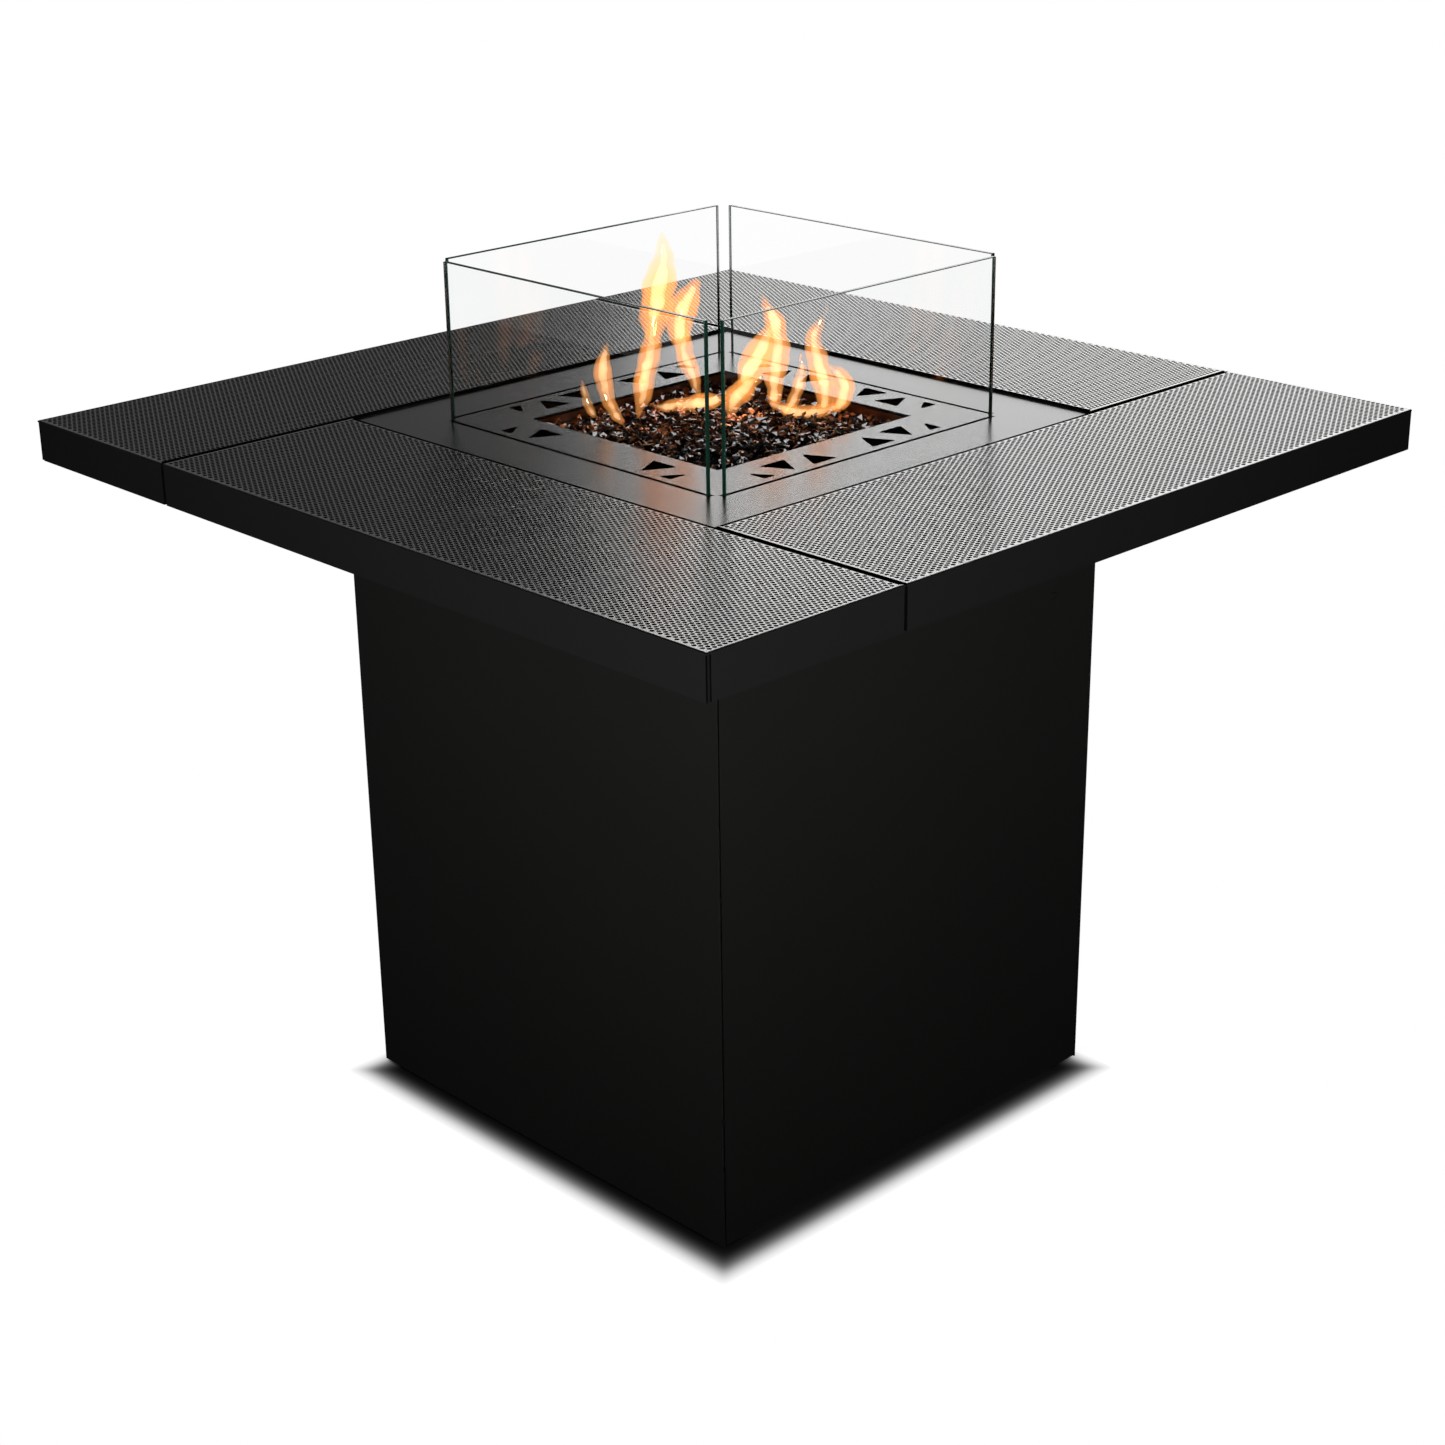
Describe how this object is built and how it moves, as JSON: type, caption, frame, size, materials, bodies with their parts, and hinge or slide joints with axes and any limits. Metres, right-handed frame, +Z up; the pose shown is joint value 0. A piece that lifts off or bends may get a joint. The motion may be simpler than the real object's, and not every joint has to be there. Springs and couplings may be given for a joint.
{
  "type": "gas fire table",
  "caption": "Square gas fire table: perforated metal boards around a vented burner cover with fire glass and glass wind panes, on a square pedestal with an access door.",
  "frame": {"origin": "on the floor under the middle of the table", "axes": "+Z up; +X towards the access door; -Y towards the front panel"},
  "size_m": [1, 1, 0.915],
  "materials": {
    "board_paint": "dark grey textured powder coat, perforated top face",
    "panel_paint": "black satin powder coat",
    "frame_paint": "black powder coat, inside",
    "rubber_pad": "matt black rubber",
    "gasket_rubber": "matt black heat-resistant rubber",
    "zinc_fasteners": "zinc plated",
    "cover_steel": "satin dark stainless sheet",
    "housing_steel": "bare folded sheet",
    "heated_steel": "heat-tinted stainless sheet",
    "mixer_steel": "plated steel",
    "gas_brass": "machined brass",
    "gas_pipe_metal": "drawn tube",
    "knob_plastic": "moulded black plastic",
    "igniter_plastic": "moulded black plastic",
    "button_plastic": "moulded dark red plastic",
    "electrode_ceramic": "unglazed white ceramic",
    "fire_glass_chips": "tumbled black and copper glass chips",
    "pane_glass": "clear toughened glass with polished edges",
    "lock_metal": "dark chrome"
  },
  "bodies": {
    "root": {"board_front": "board_paint", "board_right": "board_paint", "board_back": "board_paint", "board_left": "board_paint", "front_panel": "panel_paint", "back_panel": "panel_paint", "left_panel": "panel_paint", "door_header": "panel_paint", "base_plate": "frame_paint", "post_front_left": "frame_paint", "post_front_right": "frame_paint", "post_back_left": "frame_paint", "post_back_right": "frame_paint", "top_rail_front": "frame_paint", "top_rail_right": "frame_paint", "top_rail_back": "frame_paint", "top_rail_left": "frame_paint", "arm_front": "frame_paint", "arm_right": "frame_paint", "arm_back": "frame_paint", "arm_left": "frame_paint", "joiner_front_right": "frame_paint", "joiner_right_back": "frame_paint", "joiner_back_left": "frame_paint", "joiner_left_front": "frame_paint", "foot_pads": "rubber_pad", "pane_gaskets": "gasket_rubber", "joiner_nuts": "zinc_fasteners", "housing_screws": "zinc_fasteners", "hinge_pins": "zinc_fasteners", "hinge_frame_leaves": "zinc_fasteners", "housing": "housing_steel", "pan_stand_front": "housing_steel", "pan_stand_back": "housing_steel", "control_bracket": "housing_steel", "pane_channel_front": "housing_steel", "pane_channel_right": "housing_steel", "pane_channel_back": "housing_steel", "pane_channel_left": "housing_steel", "burner_pan": "heated_steel", "burner_tube": "heated_steel", "air_mixer": "mixer_steel", "flame_sensor": "mixer_steel", "gas_orifice": "gas_brass", "gas_valve": "gas_brass", "gas_pipe": "gas_pipe_metal", "igniter_body": "igniter_plastic", "igniter_electrode": "electrode_ceramic", "fire_glass": "fire_glass_chips"},
    "access_door": {"door": "panel_paint", "hinge_door_leaves": "zinc_fasteners"},
    "door_lock": {"lock_barrel": "lock_metal", "lock_cam": "lock_metal"},
    "gas_knob": {"control_knob": "knob_plastic"},
    "spark_button": {"igniter_button": "button_plastic"},
    "cover": {"cover_plate": "cover_steel"},
    "glass_front": {"pane_front": "pane_glass"},
    "glass_right": {"pane_right": "pane_glass"},
    "glass_back": {"pane_back": "pane_glass"},
    "glass_left": {"pane_left": "pane_glass"}
  },
  "joints": [
    {"name": "door_hinge", "type": "hinge", "parent": "root", "child": "access_door", "pos_m": [0.27, -0.264, 0.35], "axis": [0, 0, -1], "range_deg": [0, 100]},
    {"name": "lock_turn", "type": "hinge", "parent": "access_door", "child": "door_lock", "pos_m": [0.276, 0.208, 0.569], "axis": [-1, 0, 0], "range_deg": [0, 90]},
    {"name": "knob_turn", "type": "hinge", "parent": "root", "child": "gas_knob", "pos_m": [0.23, -0.04, 0.598], "axis": [1, 0, 0], "range_deg": [0, 180]},
    {"name": "button_press", "type": "slide", "parent": "root", "child": "spark_button", "axis": [-1, 0, 0], "range_m": [0, 0.005], "stiffness_N_per_m": 400, "springref_m": -0.004},
    {"name": "cover_lift", "type": "slide", "parent": "root", "child": "cover", "axis": [0, 0, 1], "range_m": [0, 0.2]},
    {"name": "glass_front_lift", "type": "slide", "parent": "root", "child": "glass_front", "axis": [0, 0, 1], "range_m": [0, 0.2]},
    {"name": "glass_right_lift", "type": "slide", "parent": "root", "child": "glass_right", "axis": [0, 0, 1], "range_m": [0, 0.2]},
    {"name": "glass_back_lift", "type": "slide", "parent": "root", "child": "glass_back", "axis": [0, 0, 1], "range_m": [0, 0.2]},
    {"name": "glass_left_lift", "type": "slide", "parent": "root", "child": "glass_left", "axis": [0, 0, 1], "range_m": [0, 0.2]}
  ]
}
